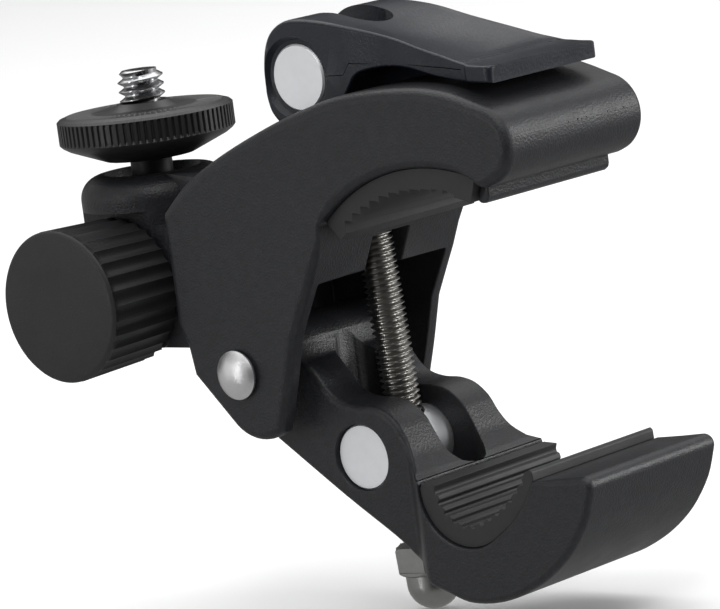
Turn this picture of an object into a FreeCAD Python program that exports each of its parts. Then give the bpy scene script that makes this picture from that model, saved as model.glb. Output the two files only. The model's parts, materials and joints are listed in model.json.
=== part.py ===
"""Lever-operated tube clamp with a small ball head, as separate pieces.

Millimetres. +Z runs along the camera stud, +X points out of the clamp's mouth and
+Y is across the clamp. The origin is the centre of the upper pad's gripping arc,
which is the axis of the thickest tube that the clamp takes.
The clamp is drawn fully open, with its lever closed and its ball head upright.
"""
import math
import os

import FreeCAD
import Part

V = FreeCAD.Vector
ACROSS = V(0, 1, 0)
UP = V(0, 0, 1)

# Axes, in the side view (X, Z)
HINGE = (-34.3, -1.3)            # rivet that the lower jaw turns on
LEVER_PIN = (-22.7, 36.9)        # barrel in the lever's head
JAW_PIN = (-19.9, -13.6)         # barrel in the lower jaw
HEAD_X = -60.5                   # axis of the ball head
BALL_Z = 17.4
KNOB_Z = 8.8

# Frame
FRAME_HALF = 16.0                # half width at the hinge
NOSE_HALF = 14.0                 # half width at the nose
NOSE_X = 15.3
NOSE_LIP = (8.9, 20.3)           # lowest point of the nose, in front of the pad's end
REAR_X = -44.5
CHEEK_INNER = 12.95
FRAME_ROUND = 1.4
TROUGH_HALF = 10.4               # pocket in the back that the lever's head sits in
SLOT_HALF = 3.65                 # rod slot in the throat plate and the back

# Pads
UPPER_PAD_R = 22.0               # gripping arc of the upper pad
UPPER_SEAT_R = 25.3
UPPER_PAD_FROM, UPPER_PAD_TO = 69.4, 133.5
UPPER_PAD_HALF = 13.5
LOWER_PAD_CENTRE = (-0.3, -16.7)
LOWER_PAD_R = 4.7
LOWER_SEAT_R = 7.6
LOWER_PAD_HALF = 12.7
LOWER_PAD_LIP = (11.4, -15.2)
LOWER_PAD_RAMP = (9.0, -18.9)    # on the seat, between its floor and the lip
BOND = 0.02                      # glue line between a pad and its seat

# Lower jaw
ARM_HALF = 9.8
TIP_HALF = 13.3
KNUCKLE_R = 5.6
JAW_SLOT = (-29.5, -8.1)          # rod slot, rear and front ends
JAW_ROUND = 0.9

# Barrels, rod, rivet
BARREL_R = 4.45
BARREL_HALF = 9.2
BARREL_GAP = 0.06                # running clearance of a barrel in its bore
ROD_R = 2.5                      # M5 x 0.8, crest radius
ROD_GAP = 0.2                    # room for the rod in the threaded barrel
ROD_HEAD_R = 3.4
ROD_HEAD_DEPTH = 2.6
ROD_END = 21.6                   # rod tip, measured from the jaw barrel
RIVET_R = 2.5
RIVET_HEAD_R = 3.3
NUT_ACROSS_FLATS = 8.0
NUT_HEX_H = 4.0
NUT_DOME_H = 5.0
NUT_DOME_R = 3.6

# Lever
LEVER_HALF = 9.8
TIP_PLATE_HALF = 11.0
FORK_HALF = 3.5

# Ball head
HOUSING_R = 10.3
HOUSING_BOTTOM, HOUSING_TOP = 0.6, 24.1
SHOULDER_R = 3.2
BALL_R = 6.0
BALL_GAP = 0.08
LIP_R = 5.0
RIM_R = 6.7
NECK_R = 2.9
KNOB_FLAT_Y = -8.2
KNOB_FLAT_TOP = 19.5
BRIDGE_HALF = 8.0
BRIDGE_TOP = 17.5
WEB_HALF = 4.5
MOUNT_SCREW_R = 2.0              # two M4 screws, side by side
MOUNT_SCREW_Y = 4.2
MOUNT_SCREW_Z = 11.0
SCREW_TIP_X = -53.0
REAR_WALL_X = -41.9
WASHER_T = 0.8
HUB_Z, CONE_Z, WHEEL_TOP = 25.9, 28.9, 32.6
HUB_R, WHEEL_R = 6.2, 12.2
STUD_R = 3.175                   # 1/4 inch - 20 UNC, crest radius
STUD_ROOT_R = 2.2
STUD_TOP = 37.9
COLLAR_R, COLLAR_H = 4.6, 0.9
KNOB_R_FRONT, KNOB_R_REAR = 10.5, 10.0
KNOB_FRONT_Y, KNOB_REAR_Y = -21.5, -8.6
KNOB_SCREW_R = 2.5
THREAD_GAP = 0.05                # radial play of a threaded pair drawn as plain cylinders


def at(point, y=0.0):
    """A side-view point (x, z) as a vector at width y."""
    return V(point[0], y, point[1])


def outline(start, *steps):
    """Closed side-view wire. A step is a point, an arc (through, to) or a list to spline."""
    edges = []
    here = start
    for step in steps + (start,):
        if isinstance(step, list):
            curve = Part.BSplineCurve()
            curve.interpolate([at(here)] + [at(p) for p in step])
            edges.append(curve.toShape())
            here = step[-1]
        elif isinstance(step[0], tuple):
            edges.append(Part.Arc(at(here), at(step[0]), at(step[1])).toShape())
            here = step[1]
        elif step != here:
            edges.append(Part.LineSegment(at(here), at(step)).toShape())
            here = step
    return Part.Wire(edges)


def plate(wire, half, y=0.0):
    """The side-view wire as a solid from y - half to y + half."""
    face = Part.Face(wire)
    face.translate(V(0, y - half, 0))
    return face.extrude(V(0, 2 * half, 0))


def cross_bar(point, r, half, y=0.0):
    """A round bar across the clamp."""
    return Part.makeCylinder(r, 2 * half, at(point, y - half), ACROSS)


def polar(centre, r, degrees):
    a = math.radians(degrees)
    return (centre[0] + r * math.cos(a), centre[1] + r * math.sin(a))


def slab(low, high):
    size = V(*high) - V(*low)
    return Part.makeBox(size.x, size.y, size.z, V(*low))


def turned(points, x=HEAD_X):
    """Solid of revolution about the ball head's axis from (radius, z) points."""
    wire = Part.makePolygon([V(x + r, 0, z) for r, z in points + [points[0]]])
    return Part.Face(wire).revolve(V(x, 0, 0), UP, 360)


def rounded(shape, radius, picks):
    """Fillet the edges that picks() accepts, or leave one out where it can't be made."""
    for edge in [e for e in shape.Edges if picks(e)]:
        middle = edge.CenterOfMass
        near = [e for e in shape.Edges if (e.CenterOfMass - middle).Length < 0.01]
        if not near:
            continue
        try:
            trial = shape.makeFillet(radius, near[:1])
        except Part.OCCError:
            continue
        if trial.isValid() and trial.Volume > 0:
            shape = trial
    return shape


# Frame -----------------------------------------------------------------------------------

def plate_x(z):
    """Front face of the throat plate at height z."""
    return -17.6 + (z - 16.2) * 0.477


def frame_outline():
    seat_low = polar((0, 0), UPPER_SEAT_R, UPPER_PAD_TO)
    seat_mid = polar((0, 0), UPPER_SEAT_R, 100)
    seat_high = polar((0, 0), UPPER_SEAT_R, UPPER_PAD_FROM)
    return outline(
        (-44.4, 20.4),
        [(-40.0, 24.2), (-33.5, 27.7), (-25.2, 31.1), (-18.2, 33.4), (-10.9, 35.1),
         (-2.0, 35.6), (5.0, 34.9), (11.8, 32.7)],
        ((NOSE_X, 27.9), (11.8, 23.1)),
        (9.5, 20.9), NOSE_LIP, polar((0, 0), UPPER_PAD_R, UPPER_PAD_FROM), seat_high,
        (seat_mid, seat_low),
        (plate_x(16.2), 16.2), (plate_x(10.3), 10.3), (-24.2, 3.4),
        [(-26.2, -3.0), (-28.4, -9.2)],
        ((-32.0, -10.3), (-36.4, -8.4)),
        (-42.7, -1.6), (-43.3, 2.4), (REAR_X, 5.2), (REAR_X, 19.6))


def frame_taper():
    """Plan shape that narrows from the hinge to the nose."""
    left, right = REAR_X - 1, NOSE_X + 1
    slope = (FRAME_HALF - NOSE_HALF) / (NOSE_X - REAR_X)
    wide, narrow = FRAME_HALF + slope, NOSE_HALF - slope
    corners = [(left, -wide), (right, -narrow), (right, narrow), (left, wide), (left, -wide)]
    face = Part.Face(Part.makePolygon([V(x, y, -20) for x, y in corners]))
    return face.extrude(V(0, 0, 70))


def frame():
    solid = plate(frame_outline(), FRAME_HALF + 1).common(frame_taper())
    solid = rounded(solid, FRAME_ROUND, lambda e: abs(e.CenterOfMass.y) > NOSE_HALF - 0.5
                    and e.Length > 20 and e.BoundBox.YLength < 2.5)
    cavity = outline(
        (REAR_WALL_X, -3.5), (REAR_WALL_X, 18.6), (-32.0, 23.6), (-26.0, 25.6), (-17.5, 25.9),
        (-17.5, 22.4), (-20.5, 19.6), (-20.5, 16.2), (-23.3, 10.3), (-14.0, 10.3),
        (-14.0, -14.0), (-47.0, -14.0), (-47.0, -3.5))
    solid = solid.cut(plate(cavity, CHEEK_INNER))
    trough = outline(
        (-37.6, 24.6), (-30.0, 27.1), (-26.0, 28.2), (-22.5, 29.0), (-18.0, 29.2),
        (-12.6, 29.6), (-12.6, 38.0), (-37.6, 38.0))
    solid = solid.cut(plate(trough, TROUGH_HALF))
    back_slot = outline((-31.0, 20.0), (-18.4, 20.0), (-18.4, 33.0), (-31.0, 33.0))
    solid = solid.cut(plate(back_slot, SLOT_HALF))
    throat_slot = outline((-26.0, 9.0), (-18.2, 9.0), (-18.2, 17.4), (-19.6, 26.5), (-26.0, 26.5))
    solid = solid.cut(plate(throat_slot, SLOT_HALF))
    solid = solid.cut(cross_bar(HINGE, RIVET_R + THREAD_GAP, FRAME_HALF + 2))
    return solid.cut(mount_screw_holes(MOUNT_SCREW_R + 0.25))


def upper_pad():
    inner, outer = UPPER_PAD_R, UPPER_SEAT_R - BOND
    low, high, mid = UPPER_PAD_TO - 0.3, UPPER_PAD_FROM + 0.3, 100
    wire = outline(
        polar((0, 0), inner, low),
        (polar((0, 0), inner, mid), polar((0, 0), inner, high)),
        polar((0, 0), outer, high),
        (polar((0, 0), outer, mid), polar((0, 0), outer, low)))
    return plate(wire, UPPER_PAD_HALF)


def hinge_rivet():
    dome_h = 1.5
    solid = cross_bar(HINGE, RIVET_R, FRAME_HALF + 0.1)
    sphere_r = (RIVET_HEAD_R ** 2 + dome_h ** 2) / (2 * dome_h)
    for side in (-1, 1):
        face_y = side * (FRAME_HALF + 0.02)
        ball = Part.makeSphere(sphere_r, at(HINGE, face_y - side * (sphere_r - dome_h)))
        keep = cross_bar(HINGE, RIVET_HEAD_R + 1, dome_h / 2, face_y + side * dome_h / 2)
        solid = solid.fuse(ball.common(keep))
    return solid.removeSplitter()


# Lower jaw -------------------------------------------------------------------------------

def jaw_outline():
    knuckle_low = polar(HINGE, KNUCKLE_R, 218)
    return outline(
        knuckle_low,
        (polar(HINGE, KNUCKLE_R, 130), polar(HINGE, KNUCKLE_R, 30)),
        [(-28.4, -0.6), (-27.2, -1.4), (-25.9, -2.6), (-24.4, -4.6), (-22.6, -5.9),
         (-20.2, -6.5), (-17.6, -6.6), (-15.2, -7.3), (-13.2, -8.9), (-11.9, -11.0),
         (-10.6, -13.3), (-8.9, -15.2)],
        (-7.0, -16.2), (10.6, -15.2), (19.4, -14.4),
        ((20.7, -14.9), (20.9, -16.3)),
        [(19.4, -20.2), (16.4, -24.3), (12.6, -27.5), (8.6, -29.7), (5.0, -31.0),
         (1.6, -31.6), (-2.0, -31.5), (-5.2, -30.4)],
        [(-9.0, -29.0), (-12.4, -26.9), (-15.8, -24.2), (-23.9, -18.9), (-34.6, -11.4)])


def jaw_plan():
    """Plan shape: a narrow arm that widens to the gripping end."""
    wide, narrow = TIP_HALF, ARM_HALF
    half = [(-45, narrow), (-12.2, narrow), (-10.4, narrow + 0.9), (-8.9, wide - 0.7), (-7.4, wide)]
    half.append((24, wide))
    points = half + [(x, -y) for x, y in reversed(half)]
    face = Part.Face(Part.makePolygon([V(x, y, -40) for x, y in points + points[:1]]))
    return face.extrude(V(0, 0, 60))


def pad_seat_cut():
    c, r = LOWER_PAD_CENTRE, LOWER_SEAT_R
    return outline(
        (c[0] - r, c[1] + 3.0), (c[0] - r, c[1]),
        (polar(c, r, -120), polar(c, r, -50)),
        (LOWER_PAD_RAMP, LOWER_PAD_LIP), (LOWER_PAD_LIP[0], c[1] + 3.0))


def lower_jaw():
    solid = plate(jaw_outline(), TIP_HALF + 1).common(jaw_plan())
    solid = rounded(solid, JAW_ROUND, lambda e: e.Length > 8 and e.BoundBox.YLength < 0.01)
    solid = solid.cut(plate(pad_seat_cut(), TIP_HALF + 1))
    slot_low, slot_high = JAW_SLOT
    r = SLOT_HALF
    slot = slab((slot_low + r, -r, -36), (slot_high - r, r, 10))
    for x in (slot_low + r, slot_high - r):
        slot = slot.fuse(Part.makeCylinder(r, 46, V(x, 0, -36), UP))
    solid = solid.cut(slot)
    solid = solid.cut(cross_bar(HINGE, RIVET_R + THREAD_GAP, ARM_HALF + 2))
    return solid.cut(cross_bar(JAW_PIN, BARREL_R + BARREL_GAP, ARM_HALF + 2))


def lower_pad():
    """U-shaped pad that runs up to a lip on the mouth's side."""
    c, lip, ramp = LOWER_PAD_CENTRE, LOWER_PAD_LIP, LOWER_PAD_RAMP
    outer, inner = LOWER_SEAT_R - BOND, LOWER_PAD_R
    wire = outline(
        (c[0] - outer + 0.4, -16.0), (c[0] - outer, c[1]),
        (polar(c, outer, -120), polar(c, outer, -50)),
        ((ramp[0] - BOND, ramp[1] + BOND), (lip[0] - BOND, lip[1])),
        (lip[0] - 0.1, -14.0), (lip[0] - 0.5, -13.7), (9.9, -14.2),
        ((7.4, -17.3), polar(c, inner, -58)),
        (polar(c, inner, -120), (c[0] - inner, c[1])),
        (c[0] - inner - 0.4, -16.0))
    return plate(wire, LOWER_PAD_HALF)


# Rod and barrels -------------------------------------------------------------------------

def rod_direction():
    return (at(JAW_PIN) - at(LEVER_PIN)).normalize()


def jaw_barrel():
    solid = cross_bar(JAW_PIN, BARREL_R, BARREL_HALF)
    start = at(JAW_PIN) - rod_direction() * 10
    return solid.cut(Part.makeCylinder(ROD_R + ROD_GAP, 20, start, rod_direction()))


def lever_barrel():
    solid = cross_bar(LEVER_PIN, BARREL_R, BARREL_HALF)
    down = rod_direction()
    start = at(LEVER_PIN) - down * 10
    solid = solid.cut(Part.makeCylinder(ROD_R + THREAD_GAP, 20, start, down))
    head_top = at(LEVER_PIN) - down * 10
    depth = 10 - BARREL_R + ROD_HEAD_DEPTH + 0.4
    return solid.cut(Part.makeCylinder(ROD_HEAD_R + THREAD_GAP, depth, head_top, down))


def clamp_rod():
    down = rod_direction()
    head_top = at(LEVER_PIN) - down * (BARREL_R - 0.4)
    length = (at(JAW_PIN) - head_top).Length + ROD_END - 0.5
    solid = Part.makeCylinder(ROD_HEAD_R, ROD_HEAD_DEPTH, head_top, down)
    solid = solid.fuse(Part.makeCylinder(ROD_R, length, head_top, down)).removeSplitter()
    socket = hexagon(3.0, head_top, down, 1.6)
    return solid.cut(socket)


def hexagon(across_flats, base, axis, height):
    """A hexagonal prism from base along axis."""
    r = across_flats / math.sqrt(3)
    side = axis.cross(ACROSS).normalize()
    points = [base + (side * math.cos(a) + ACROSS * math.sin(a)) * r
              for a in [math.radians(60 * k) for k in range(7)]]
    return Part.Face(Part.makePolygon(points)).extrude(axis * height)


def cap_nut():
    down = rod_direction()
    end = at(JAW_PIN) + down * ROD_END
    total = NUT_HEX_H + NUT_DOME_H
    top = end + down * 1.0 - down * total
    hexa = hexagon(NUT_ACROSS_FLATS, top, down, NUT_HEX_H)
    chamfer = Part.makeCone(4.35, 6.0, 1.65, top, down)
    chamfer = chamfer.fuse(Part.makeCylinder(6.0, NUT_HEX_H - 1.65, top + down * 1.65, down))
    hexa = hexa.common(chamfer)
    neck_h = NUT_DOME_H - NUT_DOME_R
    neck_top = top + down * NUT_HEX_H
    dome = Part.makeCylinder(NUT_DOME_R, neck_h, neck_top, down)
    dome = dome.fuse(Part.makeSphere(NUT_DOME_R, neck_top + down * neck_h))
    solid = hexa.fuse(dome).removeSplitter()
    return solid.cut(Part.makeCylinder(ROD_R + THREAD_GAP, total - 1.2, top, down))


# Lever -----------------------------------------------------------------------------------

def lever_outline():
    """Side view of the whole lever: cam head, arm and turned-down tip."""
    return outline(
        (-28.4, 37.9),
        [(-28.1, 40.6), (-26.6, 43.1), (-23.8, 44.4), (-20.5, 44.5), (-14.5, 43.6),
         (-6.5, 41.6), (1.0, 39.4), (6.2, 37.9)],
        (11.4, 37.5), (11.0, 35.3), (5.6, 35.4),
        [(0.5, 36.6), (-5.0, 37.7), (-10.6, 37.5)],
        ((-12.9, 36.6), (-14.0, 34.9)),
        [(-16.2, 31.6), (-19.2, 29.9), (-22.7, 29.4), (-25.6, 30.2), (-27.6, 31.9),
         (-28.5, 34.6), (-28.4, 37.9)])


def lever_plan():
    """Plan shape: parallel sides, with a wider plate at the tip."""
    half = [(-35, LEVER_HALF), (8.0, LEVER_HALF), (9.0, TIP_PLATE_HALF), (16, TIP_PLATE_HALF)]
    points = half + [(x, -y) for x, y in reversed(half)]
    face = Part.Face(Part.makePolygon([V(x, y, 20) for x, y in points + points[:1]]))
    return face.extrude(V(0, 0, 40))


def lever():
    solid = plate(lever_outline(), TIP_PLATE_HALF + 1).common(lever_plan())
    fork = outline(
        (-40, 20), (-15.2, 20), (-15.2, 36.0), ((-13.9, 40.6), (-14.4, 50)), (-40, 50))
    solid = solid.cut(plate(fork, FORK_HALF))
    return solid.cut(cross_bar(LEVER_PIN, BARREL_R + BARREL_GAP, LEVER_HALF + 2))


# Ball head -------------------------------------------------------------------------------

def mount_screw_holes(r):
    left, right = [Part.makeCylinder(r, 20, V(SCREW_TIP_X - 0.4, y, MOUNT_SCREW_Z), V(1, 0, 0))
                   for y in (-MOUNT_SCREW_Y, MOUNT_SCREW_Y)]
    return left.fuse(right)


def ball_housing():
    solid = Part.makeCylinder(HOUSING_R, HOUSING_TOP - HOUSING_BOTTOM,
                              V(HEAD_X, 0, HOUSING_BOTTOM), UP)
    solid = rounded(solid, SHOULDER_R, lambda e: e.CenterOfMass.z > HOUSING_TOP - 0.1
                    and e.Length > 40)
    bridge = slab((HEAD_X, -BRIDGE_HALF, HOUSING_BOTTOM), (REAR_X, BRIDGE_HALF, BRIDGE_TOP))
    web = plate(outline((HEAD_X + 2, BRIDGE_TOP - 1), (HEAD_X + 2, HOUSING_TOP - 0.2), (-53.0, 23.9),
                        (-43.4, 22.7), (REAR_X, 20.9), (REAR_X, BRIDGE_TOP - 1)), WEB_HALF)
    solid = solid.fuse(bridge).fuse(web).removeSplitter()
    solid = solid.cut(slab((HEAD_X - 12, -12, HOUSING_BOTTOM - 1),
                           (HEAD_X + 12, KNOB_FLAT_Y, KNOB_FLAT_TOP)))
    bore_r = BALL_R + BALL_GAP
    lip_z = BALL_Z + math.sqrt(bore_r ** 2 - LIP_R ** 2)
    solid = solid.cut(Part.makeCylinder(bore_r, BALL_Z - HOUSING_BOTTOM + 1,
                                        V(HEAD_X, 0, HOUSING_BOTTOM - 1), UP))
    solid = solid.cut(Part.makeSphere(bore_r, V(HEAD_X, 0, BALL_Z)))
    solid = solid.cut(Part.makeCone(LIP_R, RIM_R, HOUSING_TOP - lip_z, V(HEAD_X, 0, lip_z), UP))
    solid = solid.cut(Part.makeCylinder(KNOB_SCREW_R + THREAD_GAP, 8, V(HEAD_X, -12, KNOB_Z), ACROSS))
    return solid.cut(mount_screw_holes(MOUNT_SCREW_R + THREAD_GAP))


def base_cap():
    solid = Part.makeCylinder(BALL_R + BALL_GAP - THREAD_GAP, 3.0, V(HEAD_X, 0, HOUSING_BOTTOM), UP)
    return solid.cut(slab((HEAD_X - 4, -0.6, HOUSING_BOTTOM - 1), (HEAD_X + 4, 0.6, HOUSING_BOTTOM + 1)))


def mount_screw(y):
    """Screw from inside the frame that holds the ball head."""
    along = V(1, 0, 0)
    head_x = REAR_WALL_X + WASHER_T + 0.1
    tip = V(SCREW_TIP_X, y, MOUNT_SCREW_Z)
    head_seat = V(head_x, y, MOUNT_SCREW_Z)
    solid = Part.makeCylinder(MOUNT_SCREW_R, head_x - SCREW_TIP_X, tip, along)
    solid = solid.fuse(Part.makeCylinder(3.4, 2.6, head_seat, along)).removeSplitter()
    return solid.cut(hexagon(2.5, head_seat + along * 1.2, along, 3))


def mount_screws():
    return Part.makeCompound([mount_screw(y) for y in (-MOUNT_SCREW_Y, MOUNT_SCREW_Y)])


def mount_washers():
    along = V(1, 0, 0)
    rings = []
    for y in (-MOUNT_SCREW_Y, MOUNT_SCREW_Y):
        seat = V(REAR_WALL_X + 0.05, y, MOUNT_SCREW_Z)
        ring = Part.makeCylinder(3.9, WASHER_T, seat, along)
        rings.append(ring.cut(Part.makeCylinder(2.15, 3, seat - along, along)))
    return Part.makeCompound(rings)


def ball_stem():
    solid = Part.makeSphere(BALL_R, V(HEAD_X, 0, BALL_Z))
    neck = Part.makeCylinder(NECK_R, HUB_Z - BALL_Z + 1.6, V(HEAD_X, 0, BALL_Z), UP)
    solid = solid.fuse(neck).removeSplitter()
    return solid.cut(Part.makeCylinder(STUD_ROOT_R, 12, V(HEAD_X, 0, BALL_Z + 2.4), UP))


def camera_stud():
    """Threaded stud with a relief groove where it leaves the wheel's collar."""
    base_z, groove_z, chamfer = HUB_Z + 1.7, WHEEL_TOP + COLLAR_H - 0.5, 0.5
    profile = [(0, BALL_Z + 3.4), (STUD_ROOT_R - THREAD_GAP, BALL_Z + 3.4),
               (STUD_ROOT_R - THREAD_GAP, base_z), (STUD_R, base_z), (STUD_R, groove_z),
               (STUD_ROOT_R + 0.2, groove_z), (STUD_ROOT_R + 0.2, groove_z + 0.6),
               (STUD_R, groove_z + 0.6), (STUD_R, STUD_TOP - chamfer),
               (STUD_R - chamfer, STUD_TOP), (0, STUD_TOP)]
    return turned(profile)


def lock_wheel():
    inner = STUD_R + THREAD_GAP
    return turned([(inner, HUB_Z), (HUB_R, HUB_Z), (11.2, 28.0), (WHEEL_R, CONE_Z),
                   (WHEEL_R, WHEEL_TOP - 0.7), (WHEEL_R - 1.0, WHEEL_TOP),
                   (COLLAR_R, WHEEL_TOP), (inner + 0.4, WHEEL_TOP + COLLAR_H),
                   (inner, WHEEL_TOP + COLLAR_H)])


def ball_cup():
    """Cup that the knob screw's point wedges up against the ball."""
    r = BALL_R + BALL_GAP - 0.1
    solid = turned([(0, 9.6), (1.3, 9.6), (3.2, 11.5), (r, 11.5), (r, 14.6), (0, 14.6)])
    return solid.cut(Part.makeSphere(BALL_R + 0.05, V(HEAD_X, 0, BALL_Z)))


def knob_screw():
    out = V(0, -1, 0)
    solid = Part.makeCone(0.4, KNOB_SCREW_R, 2.1, V(HEAD_X, -1.5, KNOB_Z), out)
    solid = solid.fuse(Part.makeCylinder(KNOB_SCREW_R, 13.0, V(HEAD_X, -3.6, KNOB_Z), out))
    solid = solid.fuse(Part.makeCylinder(4.0, 2.0, V(HEAD_X, -14.6, KNOB_Z), out))
    return solid.removeSplitter()


def knob():
    length = KNOB_REAR_Y - KNOB_FRONT_Y
    solid = Part.makeCone(KNOB_R_REAR, KNOB_R_FRONT, length, V(HEAD_X, KNOB_REAR_Y, KNOB_Z), V(0, -1, 0))
    solid = rounded(solid, 0.6, lambda e: e.Length > 40 and e.BoundBox.YLength < 0.01)
    hollow = Part.makeCylinder(8.0, 4.0, V(HEAD_X, KNOB_REAR_Y, KNOB_Z), V(0, -1, 0))
    hollow = hollow.cut(Part.makeCylinder(4.4, 4.0, V(HEAD_X, KNOB_REAR_Y, KNOB_Z), V(0, -1, 0)))
    return solid.cut(hollow).cut(knob_screw())


PIECES = [
    frame, upper_pad, hinge_rivet, lower_jaw, lower_pad, jaw_barrel, lever_barrel, clamp_rod,
    cap_nut, lever, ball_housing, base_cap, mount_screws, mount_washers, ball_cup, ball_stem,
    camera_stud, lock_wheel, knob_screw, knob,
]


def main():
    os.makedirs("parts", exist_ok=True)
    for piece in PIECES:
        shape = piece()
        box = shape.BoundBox
        print(f"{piece.__name__:14s} valid {shape.isValid()} solids {len(shape.Solids)} "
              f"volume {shape.Volume:9.1f}  x {box.XMin:7.2f} {box.XMax:7.2f}  "
              f"y {box.YMin:7.2f} {box.YMax:7.2f}  z {box.ZMin:7.2f} {box.ZMax:7.2f}")
        shape.exportStep(f"parts/{piece.__name__}.step")


main()
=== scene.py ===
"""Looks of the small super clamp with its ball head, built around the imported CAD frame.

The object's lengths are millimetres and become metres in mesh_piece(); the studio's are metres.
+X points out of the mouth, +Y is across the clamp and +Z runs along the camera stud.
"""
import json
import math
from contextlib import contextmanager

import bmesh
import bpy
from mathutils import Matrix, Vector


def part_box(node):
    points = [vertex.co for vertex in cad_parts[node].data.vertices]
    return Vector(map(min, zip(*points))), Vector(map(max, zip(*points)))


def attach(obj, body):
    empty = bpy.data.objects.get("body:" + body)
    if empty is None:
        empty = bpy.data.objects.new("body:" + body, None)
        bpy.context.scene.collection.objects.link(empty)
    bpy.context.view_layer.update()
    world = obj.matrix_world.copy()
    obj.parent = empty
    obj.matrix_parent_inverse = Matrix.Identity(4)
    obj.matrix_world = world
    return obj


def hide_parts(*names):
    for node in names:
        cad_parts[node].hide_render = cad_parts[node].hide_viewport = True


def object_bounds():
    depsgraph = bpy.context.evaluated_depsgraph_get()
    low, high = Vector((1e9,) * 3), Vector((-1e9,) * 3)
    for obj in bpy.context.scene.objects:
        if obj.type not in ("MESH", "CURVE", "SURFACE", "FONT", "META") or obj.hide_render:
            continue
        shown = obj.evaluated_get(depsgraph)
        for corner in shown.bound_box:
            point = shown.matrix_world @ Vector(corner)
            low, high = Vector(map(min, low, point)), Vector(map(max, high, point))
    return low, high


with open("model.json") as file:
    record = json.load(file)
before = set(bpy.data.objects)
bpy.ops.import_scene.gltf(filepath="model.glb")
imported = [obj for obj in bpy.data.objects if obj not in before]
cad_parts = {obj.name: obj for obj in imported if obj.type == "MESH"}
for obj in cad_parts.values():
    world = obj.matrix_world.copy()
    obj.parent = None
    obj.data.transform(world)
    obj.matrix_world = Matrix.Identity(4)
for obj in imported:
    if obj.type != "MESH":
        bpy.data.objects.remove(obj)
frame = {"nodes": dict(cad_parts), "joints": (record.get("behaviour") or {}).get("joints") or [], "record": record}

CAD_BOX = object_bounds()
MM = 0.001
ROLL_STEPS = 5
FAR = 30.0
RIVET_BORE = 2.55
TIP = 0.01
NODES = frame["nodes"]
PIVOT = {joint["name"]: Vector(joint["pos_m"]) / MM for joint in frame["joints"]}
ACROSS = Vector((0, 1, 0))
UP = Vector((0, 0, 1))

HINGE = PIVOT["jaw_pivot"]
JAW_PIN = PIVOT["barrel_swivel"]
LEVER_PIN = PIVOT["lever_flip"]
BALL = PIVOT["ball_tilt"]
KNOB_Z = PIVOT["knob_spin"].z
ROD_DOWN = (JAW_PIN - LEVER_PIN).normalized()


def cad(node, corner, axis):
    """One coordinate of a CAD node's box in millimetres; corner 0 is the low one."""
    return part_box(node)[corner][axis] / MM


# Mesh helpers ----------------------------------------------------------------------------

@contextmanager
def editing(mesh):
    """Opens a mesh for edits and writes it back."""
    build = bmesh.new()
    build.from_mesh(mesh)
    yield build
    build.to_mesh(mesh)
    build.free()


def mesh_piece(name, points, faces):
    mesh = bpy.data.meshes.new(name)
    mesh.from_pydata([Vector(point) * MM for point in points], [], faces)
    with editing(mesh) as build:
        bmesh.ops.remove_doubles(build, verts=build.verts, dist=1e-7)
        bmesh.ops.dissolve_degenerate(build, edges=build.edges, dist=1e-8)
        bmesh.ops.recalc_face_normals(build, faces=build.faces)
    piece = bpy.data.objects.new(name, mesh)
    bpy.context.scene.collection.objects.link(piece)
    return piece


def apply_modifier(piece, kind, **settings):
    modifier = piece.modifiers.new(kind, kind)
    for name, value in settings.items():
        setattr(modifier, name, value)
    graph = bpy.context.evaluated_depsgraph_get()
    mesh = bpy.data.meshes.new_from_object(
        piece.evaluated_get(graph), preserve_all_data_layers=True, depsgraph=graph)
    piece.modifiers.clear()
    piece.data = mesh


def combine(piece, tool, operation):
    apply_modifier(piece, "BOOLEAN", operation=operation, solver="EXACT", object=tool)
    bpy.data.objects.remove(tool)


def cut(piece, tool):
    combine(piece, tool, "DIFFERENCE")


def join(piece, other):
    combine(piece, other, "UNION")


def keep(piece, tool):
    combine(piece, tool, "INTERSECT")


def smooth(piece, degrees):
    """Smooth shading, with edges over the angle kept sharp."""
    limit = math.radians(degrees)
    with editing(piece.data) as build:
        for face in build.faces:
            face.smooth = True
        for edge in build.edges:
            edge.smooth = edge.is_manifold and edge.calc_face_angle(math.pi) < limit
    return piece


def clean(piece):
    """Joins the flat pieces that a cut leaves, and drops the slivers."""
    with editing(piece.data) as build:
        bmesh.ops.remove_doubles(build, verts=build.verts, dist=0.02 * MM)
        bmesh.ops.dissolve_degenerate(build, edges=build.edges, dist=0.01 * MM)
        bmesh.ops.dissolve_limit(build, verts=build.verts, edges=build.edges,
                                 angle_limit=math.radians(0.4))
    return piece


def shade_by_area(piece, degrees):
    """Smooth shading that keeps the large faces flat."""
    smooth(piece, degrees)
    apply_modifier(piece, "WEIGHTED_NORMAL", keep_sharp=True, weight=60)


def soften(piece, width, degrees):
    """Rounds the edges over the angle, then shades by face area."""
    apply_modifier(piece, "BEVEL", width=width * MM, segments=2, limit_method="ANGLE",
                   angle_limit=math.radians(degrees), use_clamp_overlap=False,
                   miter_outer="MITER_ARC")
    shade_by_area(piece, 50)


def axes_of(axis):
    """Two unit vectors across an axis."""
    side = ACROSS.cross(axis)
    if side.length < 0.01:
        side = Vector((1, 0, 0))
    side.normalize()
    return side, axis.cross(side).normalized()


def spoke(axis, angle):
    """The unit vector across an axis at an angle in radians."""
    side, other = axes_of(axis)
    return side * math.cos(angle) + other * math.sin(angle)


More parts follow.
